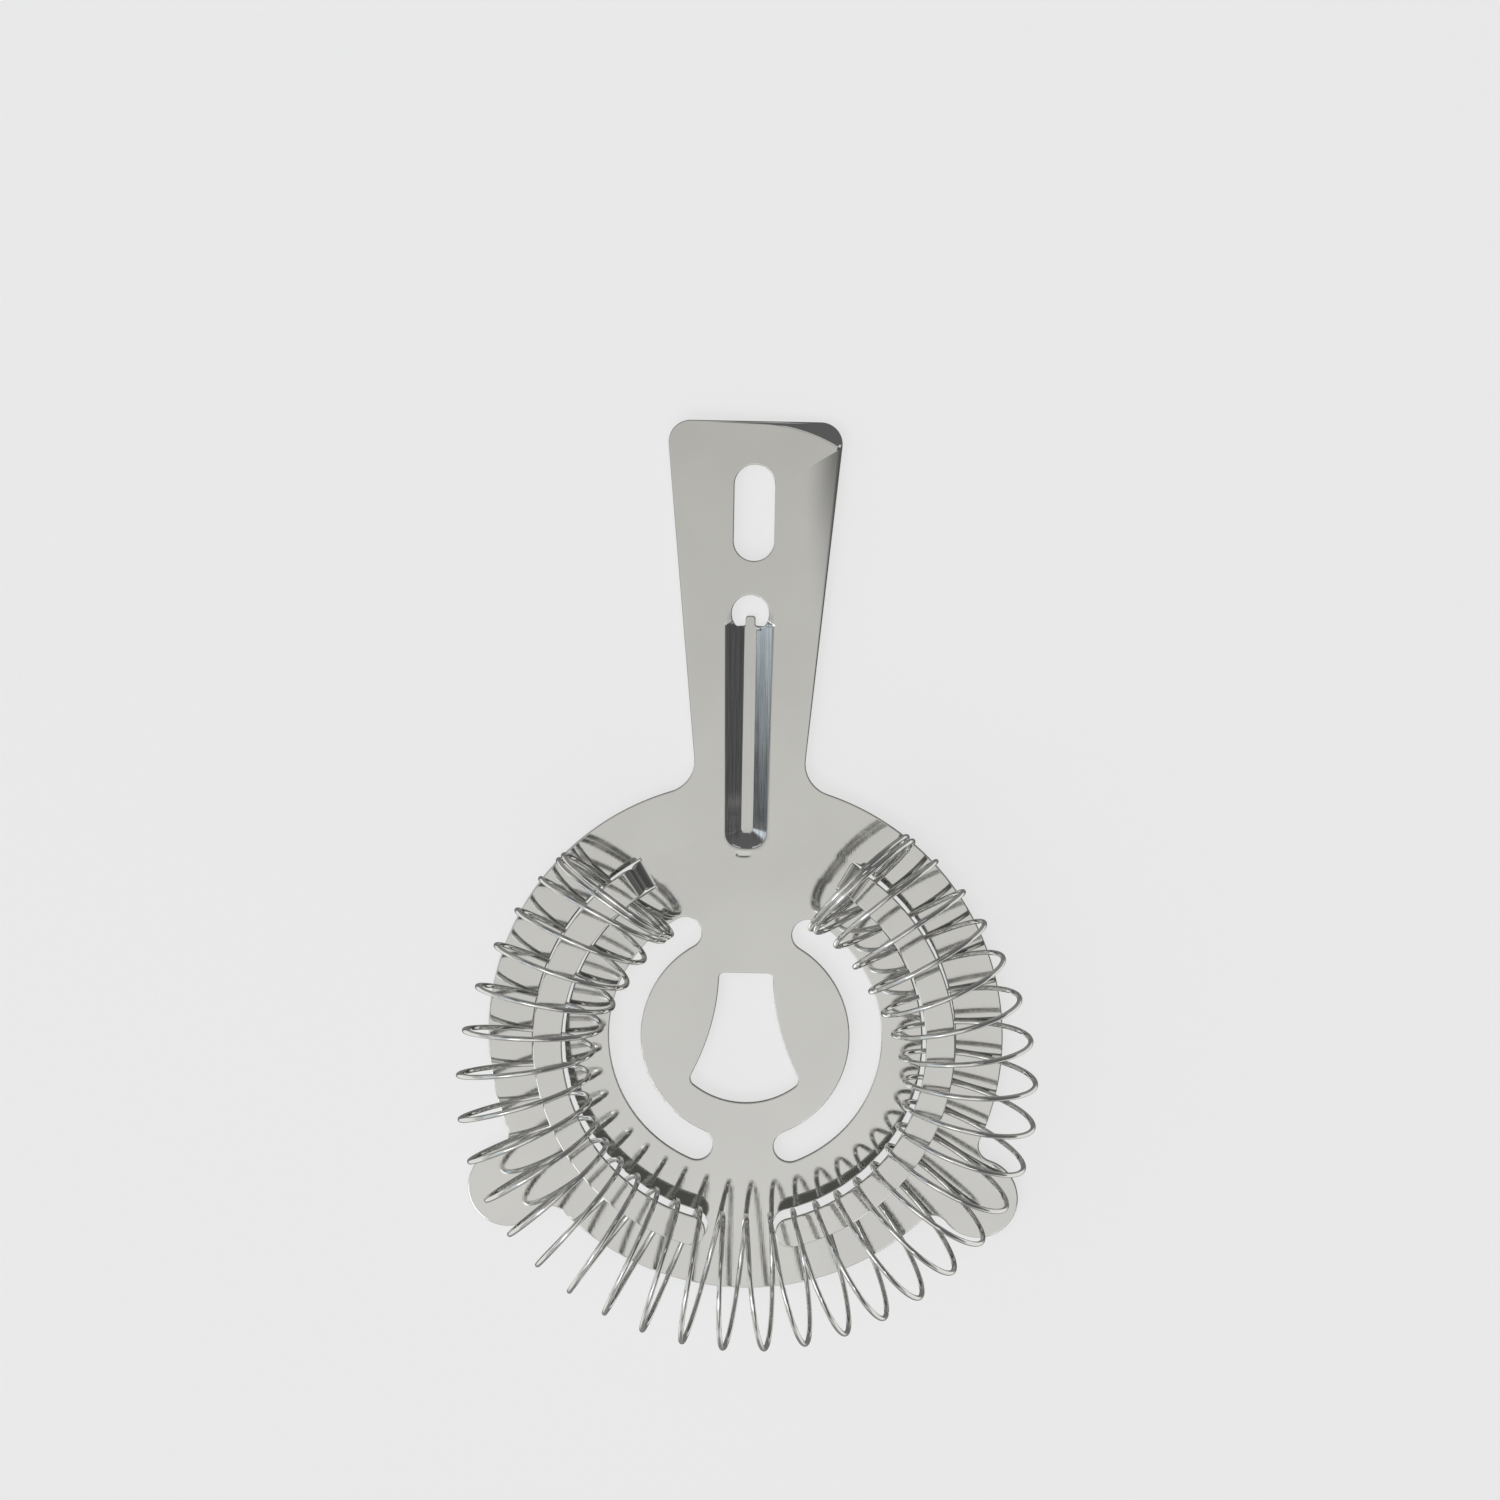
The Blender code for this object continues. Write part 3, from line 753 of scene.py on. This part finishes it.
class Nodes:
    """A short way to write a node tree."""

    def __init__(self, owner):
        owner.use_nodes = True
        self.tree = owner.node_tree
        self.tree.nodes.clear()

    def add(self, kind, inputs=None, **settings):
        node = self.tree.nodes.new(kind)
        for key, value in settings.items():
            setattr(node, key, value)
        for key, value in (inputs or {}).items():
            if isinstance(value, bpy.types.NodeSocket):
                self.tree.links.new(value, node.inputs[key])
            else:
                node.inputs[key].default_value = value
        return node

    def math(self, operation, one, other=0.0):
        return self.add("ShaderNodeMath", {0: one, 1: other}, operation=operation).outputs[0]

    def plus(self, one, other):
        return self.math("ADD", one, other)

    def times(self, one, other):
        return self.math("MULTIPLY", one, other)

    def absolute(self, value):
        return self.math("ABSOLUTE", value)

    def noise(self, vector, scale, detail=3.0, roughness=0.5):
        inputs = {"Vector": vector, "Scale": scale, "Detail": detail, "Roughness": roughness}
        return self.add("ShaderNodeTexNoise", inputs).outputs["Fac"]

    def stretch(self, vector, scale):
        return self.add("ShaderNodeMapping", {"Vector": vector, "Scale": scale}).outputs[0]

    def between(self, value, low, high, to_low, to_high):
        """A smooth step: to_low where the value is low, to_high where it is high."""
        inputs = {"Value": value, "From Min": low, "From Max": high, "To Min": to_low, "To Max": to_high}
        return self.add("ShaderNodeMapRange", inputs, interpolation_type="SMOOTHSTEP").outputs[0]

    def below(self, value, low, high):
        """1 where the value is under low, and 0 where it is over high."""
        return self.between(value, low, high, 1.0, 0.0)

    def over(self, value, low, high):
        """0 where the value is under low, and 1 where it is over high."""
        return self.between(value, low, high, 0.0, 1.0)

    def blend(self, share, one, other):
        """The first colour where the share is 0, and the other one where it is 1."""
        inputs = {0: share, 6: (*one, 1) if isinstance(one, tuple) else one}
        inputs[7] = (*other, 1) if isinstance(other, tuple) else other
        return self.add("ShaderNodeMix", inputs, data_type="RGBA").outputs[2]


def metal(name):
    """A material with its nodes, and the place of a point on the object."""
    material = bpy.data.materials.new(name)
    nodes = Nodes(material)
    place = nodes.add("ShaderNodeTexCoord").outputs["Object"]
    return material, nodes, place


def finish_metal(nodes, colour, roughness, height, bump, distance):
    dent = nodes.add("ShaderNodeBump", {"Strength": bump, "Distance": distance, "Height": height})
    shader = nodes.add("ShaderNodeBsdfPrincipled", {"Base Color": colour, "Metallic": 1.0,
                                                   "Roughness": roughness, "Normal": dent.outputs[0]})
    nodes.add("ShaderNodeOutputMaterial", {"Surface": shader.outputs[0]})


def rib_share(nodes, parts):
    """1 inside the rib and 0 outside it, and the same again but weak on the rib's floor."""
    middle = (RIB_END_Y + RIB_TOP) / 2 * MM
    half = (RIB_TOP - RIB_END_Y) / 2 * MM
    aside = nodes.absolute(nodes.plus(parts[0], -RIB_X * MM))
    along = nodes.absolute(nodes.plus(parts[1], -origin.y - middle))
    inside = nodes.below(aside, RIB_HALF_END * MM, RIB_HALF_TOP * MM)
    inside = nodes.times(inside, nodes.below(along, half + 1.5 * MM, half + 3.0 * MM))
    walls = nodes.between(aside, (RIB_FLOOR_HALF - 0.2) * MM, (RIB_FLOOR_HALF + 0.2) * MM, 0.15, 1.0)
    return inside, nodes.times(inside, walls)


def plate_look():
    """Rolled and polished sheet: fine grain along the handle, faint smudges, and streaks inside the rib."""
    light, dull, scored = (0.615, 0.613, 0.592), (0.585, 0.583, 0.565), (0.34, 0.345, 0.35)
    material, nodes, place = metal("plate_polished_steel")
    grain = nodes.noise(nodes.stretch(place, (5200.0, 60.0, 60.0)), 1.0, 2.0)
    fine = nodes.noise(nodes.stretch(place, (14000.0, 240.0, 240.0)), 1.0, 2.0)
    streak = nodes.plus(nodes.times(grain, 0.6), nodes.times(fine, 0.4))
    cloud = nodes.noise(place, 55.0, 3.0)
    smudge = nodes.noise(place, 190.0, 4.0, 0.6)
    parts = nodes.add("ShaderNodeSeparateXYZ", {0: place}).outputs
    in_rib, on_walls = rib_share(nodes, parts)
    rough = nodes.between(streak, 0.3, 0.7, 0.03, 0.07)
    rough = nodes.plus(rough, nodes.between(smudge, 0.45, 0.75, 0.0, 0.03))
    rough = nodes.plus(rough, nodes.times(in_rib, 0.08))
    tone = nodes.blend(nodes.over(cloud, 0.3, 0.7), dull, light)
    tone = nodes.blend(nodes.times(on_walls, nodes.between(streak, 0.40, 0.62, 0.7, 0.0)), tone, scored)
    height = nodes.times(streak, nodes.between(in_rib, 0.0, 1.0, 1.0, 6.0))
    finish_metal(nodes, tone, rough, height, 0.12, 0.00002)
    return material


def edge_look():
    """Sheared edge: fine lines across the sheet's thickness, duller than the faces."""
    light, dull = (0.6, 0.6, 0.585), (0.43, 0.43, 0.42)
    material, nodes, place = metal("plate_sheared_edge")
    lines = nodes.noise(nodes.stretch(place, (3200.0, 3200.0, 300.0)), 1.0, 3.0)
    tone = nodes.blend(nodes.over(lines, 0.3, 0.7), dull, light)
    finish_metal(nodes, tone, nodes.between(lines, 0.3, 0.7, 0.3, 0.45), lines, 0.3, 0.00004)
    return material


def wire_look():
    """Bright drawn spring wire: lines along the wire and a little variation of polish."""
    light, dull = (0.80, 0.795, 0.775), (0.72, 0.715, 0.695)
    material, nodes, place = metal("spring_drawn_wire")
    along = nodes.add("ShaderNodeTexCoord").outputs["UV"]
    lines = nodes.noise(nodes.stretch(along, (34.0, 0.12, 1.0)), 1.0, 2.0)
    cloud = nodes.noise(place, 240.0, 2.0)
    rough = nodes.between(lines, 0.3, 0.7, 0.04, 0.07)
    rough = nodes.plus(rough, nodes.between(cloud, 0.4, 0.7, 0.0, 0.02))
    tone = nodes.blend(nodes.over(lines, 0.3, 0.7), dull, light)
    finish_metal(nodes, tone, rough, lines, 0.05, 0.00002)
    return material


def make_stage():
    """A pale floor that glows a little, to keep shadows soft. The metal mirrors the studio instead of it."""
    bpy.ops.mesh.primitive_grid_add(x_subdivisions=2, y_subdivisions=2, size=FLOOR_SIZE, location=(0, 0, 0))
    floor = bpy.context.object
    floor.name = "floor"
    material = bpy.data.materials.new("floor_pale")
    nodes = Nodes(material)
    inputs = {"Base Color": (FLOOR_GREY, FLOOR_GREY, FLOOR_GREY, 1), "Roughness": 0.8}
    inputs["Specular IOR Level"] = 0.0
    inputs["Emission Color"] = (1, 1, 1, 1)
    inputs["Emission Strength"] = FLOOR_GLOW
    shader = nodes.add("ShaderNodeBsdfPrincipled", inputs)
    nodes.add("ShaderNodeOutputMaterial", {"Surface": shader.outputs[0]})
    floor.data.materials.append(material)
    floor.visible_glossy = False


def studio_walls(nodes, x, y, z):
    """Grey on the -X side, dark on the +X side and behind +Y, and lit low down except towards +X and +Y."""
    left, right, back = (0.42, 0.42, 0.415), (0.135, 0.137, 0.14), (0.16, 0.16, 0.165)
    low, window, post = (0.55, 0.55, 0.54), (1.03, 1.16, 1.26), (0.09, 0.095, 0.10)
    walls = nodes.blend(nodes.over(x, -0.35, 0.30), left, right)
    walls = nodes.blend(nodes.over(y, 0.15, 0.45), walls, back)
    near_floor = nodes.times(nodes.below(z, 0.20, 0.40), nodes.below(nodes.plus(x, y), 0.2, 0.5))
    walls = nodes.blend(near_floor, walls, low)
    from_post = nodes.absolute(nodes.plus(y, 0.165))
    in_window = nodes.below(nodes.absolute(nodes.plus(z, -0.50)), 0.16, 0.22)
    in_window = nodes.times(in_window, nodes.below(x, -0.60, -0.45))
    in_window = nodes.times(in_window, nodes.below(from_post, 0.30, 0.45))
    return nodes.blend(in_window, walls, nodes.blend(nodes.below(from_post, 0.07, 0.10), window, post))


def studio_ceiling(nodes, walls, x, y, z):
    """The walls with a bright soft ceiling over them, dimmer towards +Y. It stops short on both sides."""
    bright, softer = (0.97, 0.965, 0.955), (0.70, 0.695, 0.67)
    ceiling = nodes.blend(nodes.over(y, -0.30, 0.08), bright, softer)
    height = nodes.plus(z, nodes.times(y, -0.30))
    overhead = nodes.times(nodes.over(height, 0.70, 0.90), nodes.below(x, 0.12, 0.40))
    overhead = nodes.times(overhead, nodes.over(x, -0.62, -0.42))
    return nodes.blend(overhead, walls, ceiling)


def studio_ground(nodes, x, y, z):
    """Below the horizon: bright on both sides, dim in front and behind, and darkest straight below."""
    dim, bright, shade = (0.27, 0.27, 0.265), (0.90, 0.90, 0.89), (0.18, 0.18, 0.178)
    beside = nodes.times(nodes.over(nodes.absolute(x), 0.25, 0.60), nodes.below(y, 0.20, 0.45))
    return nodes.blend(nodes.below(z, -0.93, -0.80), nodes.blend(beside, dim, bright), shade)


def make_world():
    """A studio that the metal mirrors: walls with a window on the -X side, a soft ceiling, and the ground."""
    world = bpy.data.worlds.new("studio")
    bpy.context.scene.world = world
    nodes = Nodes(world)
    direction = nodes.add("ShaderNodeTexCoord").outputs["Generated"]
    x, y, z = nodes.add("ShaderNodeSeparateXYZ", {0: direction}).outputs
    above = studio_ceiling(nodes, studio_walls(nodes, x, y, z), x, y, z)
    colour = nodes.blend(nodes.over(z, -0.12, 0.02), studio_ground(nodes, x, y, z), above)
    background = nodes.add("ShaderNodeBackground", {"Color": colour, "Strength": 1.0})
    nodes.add("ShaderNodeOutputWorld", {"Surface": background.outputs[0]})


def add_soft_light(name, place, size, brightness):
    """A rectangular softbox that faces the origin. Its face is equally bright whatever its size."""
    light = bpy.data.lights.new(name, "AREA")
    light.shape = "RECTANGLE"
    light.size, light.size_y = size
    light.energy = brightness * math.pi * size[0] * size[1]
    lamp = bpy.data.objects.new(name, light)
    lamp.location = place
    lamp.rotation_mode = "QUATERNION"
    lamp.rotation_quaternion = (-Vector(place)).to_track_quat("-Z", "Y")
    bpy.context.scene.collection.objects.link(lamp)


def make_camera():
    camera = bpy.data.cameras.new("camera")
    camera.lens = CAMERA_LENS
    camera.sensor_width = 36.0
    camera.clip_start, camera.clip_end = 0.01, 10.0
    obj = bpy.data.objects.new("camera", camera)
    place = CAMERA_PLACE * MM + origin
    back = (CAMERA_PLACE - CAMERA_AIM).normalized()
    across = Vector((0, 1, 0)).cross(back).normalized()
    level = Matrix((across, back.cross(across), back)).transposed().to_4x4()
    obj.matrix_world = Matrix.Translation(place) @ level @ Matrix.Rotation(math.radians(CAMERA_ROLL), 4, "Z")
    bpy.context.scene.collection.objects.link(obj)
    bpy.context.scene.camera = obj


def make_spring():
    """The wire, whole from end to end, in pieces that each run between two neighbouring bodies, whose CAD
    parts are hidden.
    """
    material = wire_look()
    left = [(f"spring_left_{number}", pair[1]) for number, pair in enumerate(PAIR_MIDDLES, 1)]
    right = [(f"spring_right_{number}", pair[0]) for number, pair in enumerate(PAIR_MIDDLES, 1)]
    bodies = left[::-1] + [("spring_front", FRONT_MIDDLE)] + right
    seams = [seam_near(angle) for _, angle in bodies[1:-1]]
    cuts = [wire_ends[0]] + seams + [wire_ends[1]]
    last = len(bodies) - 2
    for i in range(last + 1):
        (one, one_angle), (other, other_angle) = bodies[i], bodies[i + 1]
        wire = make_wire(f"wire_{i + 1}", cuts[i], cuts[i + 1], material)
        start = coil_middle_at(one_angle) if i == 0 else coil_middle(cuts[i])
        end = coil_middle_at(other_angle) if i == last else coil_middle(cuts[i + 1])
        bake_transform(wire)
        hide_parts(one, other)


def coil_middle(step):
    """The middle of the coil at a step of the wire, in metres."""
    return tuple(wire_point(step)[2] * MM + origin)


def coil_middle_at(angle):
    """The middle of the coil at an angle round the disc, in metres."""
    flat = polar(ring_radius(angle), angle)
    return tuple(Vector((flat.x + SPRING_SHIFT, flat.y, SPRING_LIFT + WIRE_R + COIL_R)) * MM + origin)


def seam_near(angle):
    """The step nearest to an angle where the wire is on the coil's outer side."""
    def off(step):
        flat = wire_point(step)[2]
        return abs(math.degrees(math.atan2(flat.x - SPRING_SHIFT, -flat.y)) - angle)

    first = FRONT_PHASE / 360.0
    low, high = (math.floor(end / STEPS_PER_TURN - first) for end in wire_ends)
    return min(((first + turns) * STEPS_PER_TURN for turns in range(low + 1, high + 1)), key=off)


plate_low, plate_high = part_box("plate")
origin = Vector((0.0, plate_low[1] + DISC_R * MM, plate_high[2] - TONGUE_RISE * MM))

make_camera()
make_world()
for softbox, (spot, face, glow) in SOFTBOXES.items():
    add_soft_light(softbox, spot, face, glow)
make_stage()

plate_piece = make_plate()
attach(plate_piece, "plate")
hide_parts("plate")

right_angles = half_spring(1)
left_angles = half_spring(-1)
wire_ends = (1.0 - len(left_angles), len(right_angles) - 1.0)
make_spring()

bpy.context.scene.view_settings.view_transform = "Standard"
